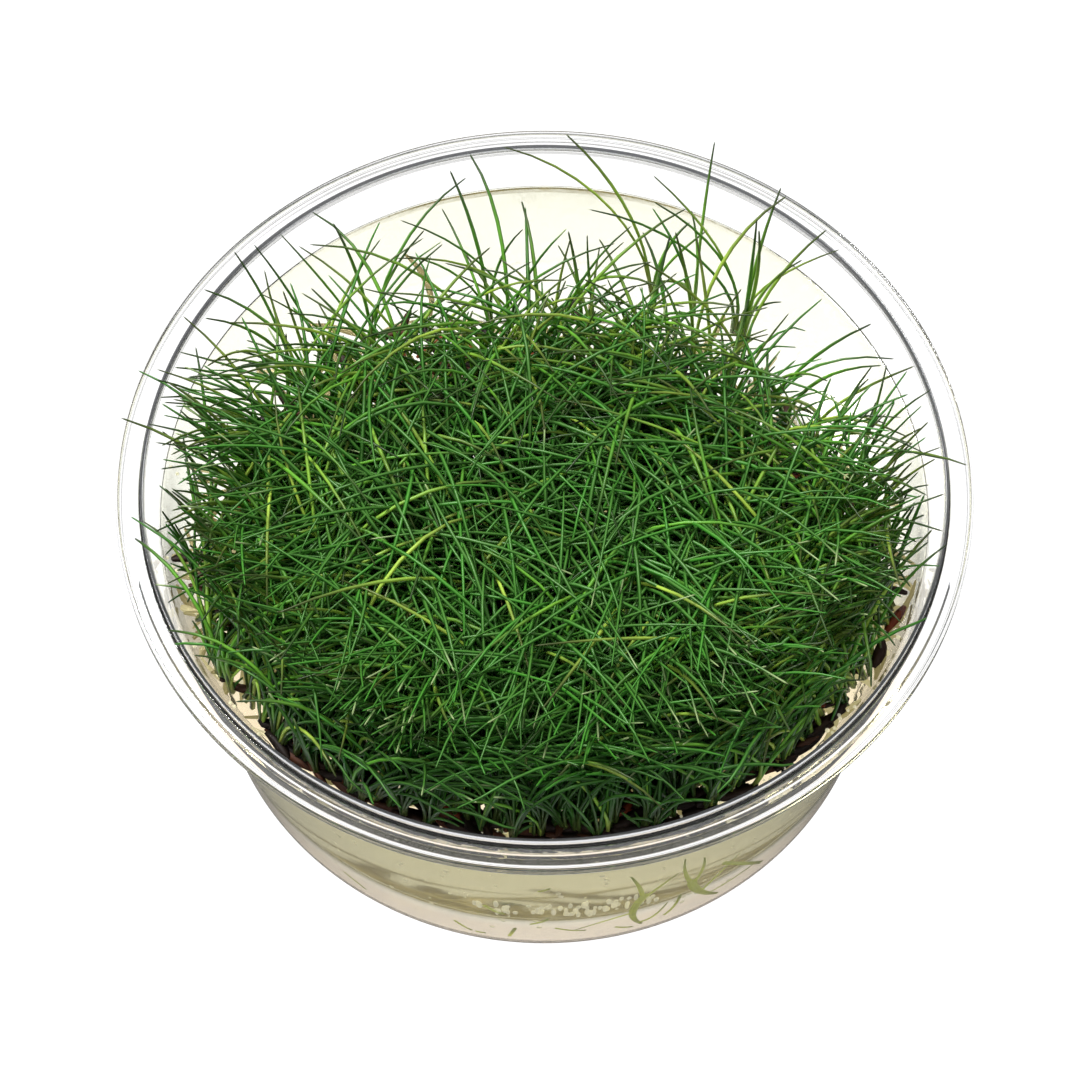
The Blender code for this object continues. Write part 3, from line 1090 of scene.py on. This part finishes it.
    def pick_looks(self, centre: np.ndarray, short: np.ndarray, rng: np.random.Generator) -> np.ndarray:
        """Picks a look for each blade, as painted light and shade: light ones at the back and by the wall,
        dim ones low down.

        Args:
            centre: the place of each blade's crown.
            short: which blades are short.
            rng: source of the variation.

        Returns:
            The number of each blade's look.
        """
        count = len(centre)
        least, most = self.light_limits
        light = np.clip(least + self.light_gain * (self.beyond_thick(centre) - self.light_start), least, most)
        room = self.radius - self.side_gap - np.hypot(centre[:, 0], centre[:, 1])
        by_wall = 1 - np.clip(room / self.wall_light_depth, 0, 1)
        front, span = self.wall_light_span
        light = np.maximum(light, self.wall_light * by_wall * np.clip((centre[:, 1] - front) / span, 0, 1))
        first_light = self.dim_looks + self.deep_looks
        looks = np.where(
            rng.random(count) < light,
            rng.integers(first_light, first_light + self.light_looks, count),
            rng.integers(self.dim_looks, first_light, count),
        )
        return np.where(short & (rng.random(count) > light), rng.integers(0, self.dim_looks, count), looks)

    def palette(self, rng: np.random.Generator) -> Looks:
        """Looks of the blades, lit and shaded copies of one skin that paint light and shade: dim short ones,
        deep ones, and light ones where the sun gets in.
        """
        pale, green, dark = TipTone.PALE.value, TipTone.GREEN.value, TipTone.DARK.value
        dim, deep, light = self.dim_looks, self.deep_looks, self.light_looks
        tones = [rng.uniform(0.0, 0.25, dim), rng.beta(2.2, 3.0, deep) * 0.8, rng.uniform(0.7, 1.0, light)]
        tips = [np.full(dim, green), rng.choice([pale, green], deep, p=(0.15, 0.85)), np.full(light, dark)]
        sheaths = [np.zeros(dim), rng.uniform(0.0, 0.2, deep), rng.uniform(0.4, 1.0, light)]
        shades = [np.full(dim, 1.0), rng.uniform(0.75, 1.0, deep), rng.uniform(0.0, 0.3, light)]
        return Looks(*(np.concatenate(parts) for parts in (tones, tips, sheaths, shades)))

    def room_to_wall(self, base: np.ndarray, heading: np.ndarray, length: np.ndarray,
                     tilt: np.ndarray) -> np.ndarray:
        """Share of its tilt that each blade may keep before it would lean over the wall.

        Args:
            base: foot of each blade.
            heading: the way that it leans.
            length: its length.
            tilt: its mean tilt from upright.

        Returns:
            A share from 0 to 1 for each blade.
        """
        toward = base[:, 0] * np.cos(heading) + base[:, 1] * np.sin(heading)
        inner = self.cup.gel_shore - self.tip_gap
        reach = np.hypot(base[:, 0], base[:, 1])
        room = -toward + np.sqrt(np.maximum(toward ** 2 - reach ** 2 + inner ** 2, 0))
        most = np.arcsin(np.clip(room / length, 0, 1))
        return np.minimum(1.0, most / np.maximum(tilt, 1e-3))

    def keep_in_cup(self, lines: np.ndarray) -> np.ndarray:
        """Presses blades softly against the inner wall, and lets those above the lip pass over it."""
        cup, soft = self.cup, self.wall_press
        heights = lines[..., 2]
        reach = np.hypot(lines[..., 0], lines[..., 1])
        share = np.clip((heights - cup.gel_line) / (cup.height - cup.gel_line), 0, 1)
        inner = cup.lip - cup.wall / 2
        wall = cup.gel_shore + share * (inner - cup.gel_shore) - self.wall_gap
        above = np.clip((heights - cup.height) / self.lip_rise, 0, 1)
        limit = wall + above * (cup.lip + self.lip_reach - wall)
        over = reach - (limit - soft)
        pressed = np.where(over > 0, limit - soft * np.exp(-np.maximum(over, 0) / soft), reach)
        result = lines.copy()
        result[..., :2] *= (pressed / np.maximum(reach, 1e-6))[..., None]
        return result

    def fringe(self, lines: np.ndarray, rng: np.random.Generator) -> np.ndarray:
        """Numbers of the blades that stay: those whose tips hang far behind the thick turf get rare."""
        gain = np.maximum(self.beyond_thick(lines[:, -1, :2]) - self.tip_reach, 0)
        rooted = np.maximum(self.beyond_thick(lines[:, 0, :2]), 0)
        return np.flatnonzero(rng.random(len(lines)) < np.exp(-np.maximum(gain - rooted, 0) / self.tip_fade))

    def blade_radii(self, blades: BladeSet) -> np.ndarray:
        """Half-widths along each blade: a stout sheath, an even middle and a blunt tip."""
        share = np.linspace(0, 1, self.segments + 1)
        profile = 1 + self.sheath_swell * np.exp(-share / self.sheath_run)
        taper = np.clip((1 - share) / self.tip_run, 0, 1) ** self.tip_power
        profile = profile * (self.tip_width + (1 - self.tip_width) * taper)
        return blades.widths[:, None] / 2 * profile[None]

    def build(self) -> None:
        """Grows the turf and meshes it clump by clump in the place of the solids."""
        rng = np.random.default_rng(SEED)
        crowns = self.crowns(rng)
        blades, owner = self.grow(crowns, rng)
        lines = self.keep_in_cup(blades.centre_lines(self.segments))
        kept = self.fringe(lines, rng)
        lines, owner, looks = lines[kept], owner[kept], blades.looks[kept]
        radii = self.blade_radii(blades)[kept]
        mesher = BladeMesher(self.palette(rng))
        gaps = np.linalg.norm(crowns[:, None] - self.clump_centres()[None], axis=2)
        clump_of_crown = gaps.argmin(axis=1)
        clump_of_crown[gaps.argmin(axis=0)] = np.arange(self.clumps)
        skin = LeafSkin().material()
        for number in range(self.clumps):
            chosen = np.flatnonzero(clump_of_crown[owner] == number)
            name = f"clump_{number + 1:02d}"
            piece = mesher.mesh(f"hairgrass_{name}", lines[chosen], radii[chosen], looks[chosen])
            finish_piece(piece, skin, (name,))
        log.info("turf: %d crowns, %d blades", len(crowns), len(owner))


@dataclass(frozen=True)
class Strips:
    """Sizes of flat strips that lie about, in mm, their tilt in degrees, and their finish."""

    name: str
    spacing: float
    length: tuple
    width: tuple
    tilt: tuple
    skin: DeadSheath


@dataclass
class Litter:
    """Mat of dead sheaths between the crowns of the thick turf, whose dark browns are partly painted shade in
    the turf's gaps, and of the roots right under it.
    """

    turf: Turf
    sheaths: Strips = Strips("dead_sheaths", 1.35, (2.5, 6.5), (0.8, 1.6), (72, 95), DeadSheath())
    # The pale roots get a painted glow.
    roots: Strips = Strips("root_mat", 1.6, (6.0, 12.0), (0.6, 1.1), (80, 90), DeadSheath(
        "pale_root", ((0.0, "#7A7048"), (0.5, "#A0966A"), (0.85, "#B8AE82"), (1.0, "#C8BE98")), 0.85,
    ))
    root_depth: tuple = (1.4, 3.4)
    root_margin: float = 4.0
    bare_band: float = 5.0
    bare_behind: float = -30.0
    bare_share: float = 0.95
    height: float = 0.5
    scatter: float = 0.8
    thick_edge: tuple = (4, 3)
    wall_band: float = 4.0
    wall_scatter: float = 0.25
    end_width: float = 0.25
    droop: float = 0.15
    turn: float = 0.8
    flatness: float = 0.22
    looks: int = 10
    segments: int = 4

    def places(self, spacing: float, rng: np.random.Generator) -> np.ndarray:
        """Scatters places over the thick part of the turf, about one to each square of the spacing."""
        steps = np.arange(-self.turf.radius, self.turf.radius, spacing)
        places = np.stack(np.meshgrid(steps, steps), axis=-1).reshape(-1, 2)
        places = places + rng.uniform(-self.scatter, self.scatter, places.shape) * spacing
        thick = self.turf.beyond_thick(places) < rng.normal(*self.thick_edge, len(places))
        return places[self.turf.off_sides(places) & thick]

    def within(self, places: np.ndarray, margin: float) -> np.ndarray:
        """Tells which places are at least a margin away from the turf's edge."""
        return np.hypot(places[:, 0], places[:, 1]) <= self.turf.radius - margin

    def lay(self, strips: Strips, places: np.ndarray, heights: np.ndarray,
            rng: np.random.Generator) -> None:
        """Lays one piece of flat strips, which follow the wall where they are close to it.

        Args:
            strips: the strips' sizes and finish.
            places: XY of each strip's start, in mm.
            heights: Z of each strip's start.
            rng: source of the variation.
        """
        count = len(places)
        tilt = np.radians(rng.uniform(*strips.tilt, count))
        along_wall = np.arctan2(places[:, 1], places[:, 0]) + math.pi / 2
        along_wall = along_wall + rng.normal(0, self.wall_scatter, count)
        inside = self.within(places, self.wall_band)
        heading = np.where(inside, rng.uniform(0, math.tau, count), along_wall)
        tilt = np.where(inside, tilt, math.pi / 2)
        blades = BladeSet(
            bases=np.concatenate([places, heights[:, None]], axis=1),
            lengths=rng.uniform(*strips.length, count), tilt_start=tilt, tilt_end=tilt + self.droop,
            heading=heading, turn=rng.normal(0, self.turn, count), axes=directions(tilt, heading),
            widths=rng.uniform(*strips.width, count), looks=rng.integers(0, self.looks, count),
        )
        lines = self.turf.keep_in_cup(blades.centre_lines(self.segments))
        share = np.linspace(0, 1, self.segments + 1)
        bulge = np.sin(math.pi * (0.1 + 0.8 * share))
        radii = blades.widths[:, None] / 2 * (self.end_width + (1 - self.end_width) * bulge)[None]
        looks = Looks(np.linspace(0, 1, self.looks) ** 1.5, *np.zeros((3, self.looks)))
        piece = BladeMesher(looks).mesh(strips.name, lines, radii, blades.looks, self.flatness)
        finish_piece(piece, strips.skin.material())

    def build(self) -> None:
        """Lays the dead sheaths on the gel and the roots just inside it."""
        rng = np.random.default_rng(SEED + 1)
        gel_line = self.turf.cup.gel_line
        places = self.places(self.sheaths.spacing, rng)
        by_side = ~self.within(places, self.bare_band) & (places[:, 1] > self.bare_behind)
        places = places[~(by_side & (rng.random(len(places)) < self.bare_share))]
        heights = gel_line + rng.uniform(0, self.height, len(places))
        self.lay(self.sheaths, places, heights, rng)
        places = self.places(self.roots.spacing, rng)
        places = places[self.within(places, self.root_margin)]
        heights = gel_line - rng.uniform(*self.root_depth, len(places))
        self.lay(self.roots, places, heights, rng)


@dataclass
class Plantlets:
    """Two loose, forked seedlings in the gel against the front wall, and cut scraps of blade.

    A path is three places: degrees from the front towards +X, and height in mm. Its width
    follows, and for a scrap the number of its look.
    """

    cup: Cup
    depth: float = 0.9
    taper: float = 0.65
    taper_power: float = 1.5
    segments: int = 12
    first: tuple = (
        (((16.3, 16.2), (14.6, 9.4), (16.6, 3.4)), 1.3),
        (((15.9, 14.6), (14.9, 20.0), (13.2, 25.4)), 0.8),
        (((15.9, 14.6), (18.4, 18.2), (21.0, 21.4)), 0.7),
        (((15.8, 4.6), (18.4, 5.2), (20.5, 9.6)), 0.7),
        (((15.0, 9.6), (10.0, 8.2), (5.0, 5.6)), 0.6),
    )
    second: tuple = (
        (((24.0, 15.6), (26.2, 9.2), (30.6, 3.4)), 1.4),
        (((24.5, 13.8), (22.4, 20.0), (21.6, 26.4)), 0.8),
        (((24.5, 13.8), (25.4, 19.0), (25.0, 24.0)), 0.7),
        (((26.6, 8.8), (29.4, 13.2), (32.2, 17.6)), 0.6),
    )
    scraps: tuple = (
        (((2.0, 7.1), (4.5, 5.8), (7.0, 5.2)), 0.45, 0),
        (((12.1, 4.6), (13.6, 3.6), (15.1, 3.0)), 0.45, 0),
        (((-2.1, 8.8), (-0.5, 9.8), (0.8, 11.2)), 0.5, 1),
        (((-0.8, 23.2), (0.1, 23.6), (1.0, 24.4)), 0.4, 0),
        (((-9.3, 15.3), (-7.9, 13.7), (-6.3, 12.5)), 0.7, 2),
        (((-5.7, 2.8), (-5.4, 3.8), (-4.6, 6.6)), 0.5, 4),
        (((-14.8, 5.8), (-13.4, 4.1), (-12.0, 3.0)), 0.45, 3),
        (((-11.4, 2.9), (-10.5, 2.8), (-9.7, 2.9)), 0.5, 0),
        (((29.4, 17.2), (34.0, 11.4), (39.4, 4.8)), 0.7, 1),
        (((27.8, 5.8), (32.2, 6.3), (37.9, 7.2)), 0.5, 1),
        (((-35.3, 6.1), (-33.0, 4.9), (-31.2, 3.8)), 0.5, 2),
        (((20.5, 4.2), (22.0, 6.8), (22.6, 11.0)), 0.5, 2),
    )

    def line(self, path: tuple) -> np.ndarray:
        """Smooth line through the three places of a blade."""
        start, middle, end = (np.array(place) for place in path)
        bend = 2 * middle - (start + end) / 2
        points = []
        for share in np.linspace(0, 1, self.segments + 1):
            angle, height = (1 - share) ** 2 * start + 2 * share * (1 - share) * bend + share ** 2 * end
            points.append(self.cup.wall_place(angle, height, self.depth))
        return np.array(points)

    def build(self) -> None:
        """Meshes both plantlets in the place of their solids, and then the scraps."""
        # The plantlets' leaves get a painted glow.
        skin = LeafSkin(
            name="plantlet_leaf", tones=((0.0, "#8E9436"), (1.0, "#B0B456")), sheath="#9EA446",
            rib="#C2C67E", dark_tip="#6E7430", pale_tip="#B8BC7A", roughness=0.4, let_through=0.8,
        ).material()
        most = max(len(self.first), len(self.second))
        mesher = BladeMesher(Looks(
            tone=np.linspace(0.1, 0.9, most), tip=np.full(most, TipTone.DARK.value),
            sheath=np.full(most, 0.6), shade=np.zeros(most),
        ))
        share = np.linspace(0, 1, self.segments + 1)
        for number, blades in enumerate((self.first, self.second), start=1):
            lines = np.stack([self.line(path) for path, _ in blades])
            widths = np.array([width for _, width in blades])
            radii = widths[:, None] / 2 * (1.0 - self.taper * share[None] ** self.taper_power)
            piece = mesher.mesh(f"loose_plantlet_{number}", lines, radii, np.arange(len(blades)))
            finish_piece(piece, skin, (f"plantlet_{number}",))
        paths, widths, looks = zip(*self.scraps)
        lines = np.stack([self.line(path) for path in paths])
        radii = np.repeat(np.array(widths)[:, None] / 2, self.segments + 1, axis=1)
        finish_piece(mesher.mesh("cut_scraps", lines, radii, np.array(looks)), skin)


@dataclass
class Bubbles:
    """Bubbles: a row of tall ones that rose by the front wall, small round ones, and foam on top."""

    cup: Cup
    tall: int = 64
    tall_turn: tuple = (-11.0, 19.0)
    tall_height: tuple = (12.5, 17.0)
    tall_half: tuple = (0.5, 1.4)
    tall_width: tuple = (0.22, 0.4)
    tall_depth: float = 1.0
    round: int = 90
    round_turn: tuple = (-40, 60)
    round_height: tuple = (5, 34)
    round_depth: tuple = (0.8, 2.0)
    round_size: tuple = (0.12, 0.38)
    foam: int = 110
    foam_turn: float = 45
    foam_band: float = 5.0
    foam_gap: float = 0.4
    foam_size: tuple = (0.12, 0.3)
    sides: int = 8
    rings: int = 5

    def ball(self) -> tuple[np.ndarray, list]:
        """Corners and faces of a ball of radius 1 with few faces."""
        deselect_all()
        bpy.ops.mesh.primitive_uv_sphere_add(segments=self.sides, ring_count=self.rings, radius=1.0)
        ball = bpy.context.object
        corners = np.array([vert.co[:] for vert in ball.data.vertices])
        faces = [list(face.vertices) for face in ball.data.polygons]
        mesh = ball.data
        bpy.data.objects.remove(ball)
        bpy.data.meshes.remove(mesh)
        return corners, faces

    def places(self, rng: np.random.Generator) -> tuple[np.ndarray, np.ndarray]:
        """Middles and half-sizes of all bubbles, in mm."""
        pick, cup = rng.uniform, self.cup
        middles, sizes = [], []
        for _ in range(self.tall):
            half = pick(*self.tall_half)
            middles.append(cup.wall_place(
                pick(*self.tall_turn), pick(*self.tall_height), self.tall_depth,
            ))
            sizes.append((pick(*self.tall_width), pick(*self.tall_width), half))
        for _ in range(self.round):
            sizes.append([pick(*self.round_size)] * 3)
            middles.append(cup.wall_place(
                pick(*self.round_turn), pick(*self.round_height), pick(*self.round_depth),
            ))
        for _ in range(self.foam):
            turn = math.radians(rng.normal(0, self.foam_turn))
            reach = cup.gel_shore - self.foam_gap - self.foam_band * rng.random() ** 2
            size = pick(*self.foam_size)
            middles.append((reach * math.sin(turn), -reach * math.cos(turn), cup.gel_line + size))
            sizes.append([size] * 3)
        return np.array(middles), np.array(sizes)

    def build(self) -> None:
        """Joins all bubbles into one piece."""
        middles, sizes = self.places(np.random.default_rng(SEED + 2))
        corners, faces = self.ball()
        places = (middles[:, None] + corners[None] * sizes[:, None]).reshape(-1, 3)
        starts = range(0, len(places), len(corners))
        joined = [[start + corner for corner in face] for start in starts for face in faces]
        piece = add_mesh("gel_bubbles", places, joined)
        piece.data.validate()
        piece.data.shade_smooth()
        finish_piece(piece, TrappedAir().material())


@dataclass
class Studio:
    """White table, soft lights and the camera at the photograph's angle."""

    camera_place: tuple = (0.0, -172.7, 333.3)
    aim: tuple = (-0.5, -9.8, 45.0)
    lens: float = 94.3
    floor_size: float = 0.5
    sky: float = 0.8
    sky_tones: tuple = ((0.0, "#707070"), (0.2, "#888888"), (0.35, "#D0D0D0"), (0.5, WHITE))
    key_size: float = 0.4
    key_power: float = 18.0
    key_place: tuple = (-0.5, 0.35, 1.1)

    def camera(self) -> None:
        """Sets the camera, which looks down on the cup."""
        deselect_all()
        place = Vector(self.camera_place) * MM
        look = Vector(self.aim) * MM - place
        bpy.ops.object.camera_add(location=place, rotation=look.to_track_quat("-Z", "Y").to_euler())
        camera = bpy.context.object
        camera.name = "studio_camera"
        camera.data.lens = self.lens
        camera.data.sensor_width = 36.0
        camera.data.clip_start = 0.01
        camera.data.clip_end = 20.0
        bpy.context.scene.camera = camera

    def floor(self) -> None:
        """Lays the white table."""
        deselect_all()
        bpy.ops.mesh.primitive_plane_add(size=self.floor_size, location=(0, 0, 0))
        floor = bpy.context.object
        floor.name = "white_table"
        floor.data.materials.append(PaleFloor().material())

    def key_light(self) -> None:
        """Hangs the key light over the left side of the cup."""
        deselect_all()
        place = Vector(self.key_place)
        bpy.ops.object.light_add(type="AREA", location=place)
        key = bpy.context.object
        key.name = "key_softbox"
        key.data.shape = "DISK"
        key.data.size = self.key_size
        key.data.energy = self.key_power
        key.rotation_euler = (-place).to_track_quat("-Z", "Y").to_euler()

    def room(self) -> None:
        """Lights the room, which is darker low down and white behind the cup."""
        world = bpy.data.worlds.new("studio_room")
        bpy.context.scene.world = world
        world.use_nodes = True
        tree = world.node_tree
        tree.nodes.clear()
        way = add_node(tree, "ShaderNodeTexCoord").outputs["Generated"]
        colour = ramp(tree, part_of(tree, way, "Z"), self.sky_tones)
        light = add_node(tree, "ShaderNodeBackground", {"Color": colour, "Strength": self.sky})
        backdrop = add_node(tree, "ShaderNodeBackground", {"Color": linear(WHITE), "Strength": 1.0})
        both = add_node(tree, "ShaderNodeMixShader", {
            0: add_node(tree, "ShaderNodeLightPath").outputs["Is Camera Ray"],
            1: light.outputs["Background"],
            2: backdrop.outputs["Background"],
        })
        add_node(tree, "ShaderNodeOutputWorld", {"Surface": both.outputs["Shader"]})
        bpy.context.scene.view_settings.view_transform = "Standard"

    def build(self) -> None:
        """Sets up the whole studio."""
        self.camera()
        self.floor()
        self.key_light()
        self.room()


def main() -> None:
    """Builds every sub-assembly around the frame and notes the sizes."""
    logging.basicConfig(level=logging.INFO, format="%(name)s %(message)s")
    cup = Cup()
    turf = Turf(cup)
    for part in (Studio(), cup, Gel(cup), turf, Litter(turf), Plantlets(cup), Bubbles(cup)):
        part.build()


if __name__ == "__main__":
    main()
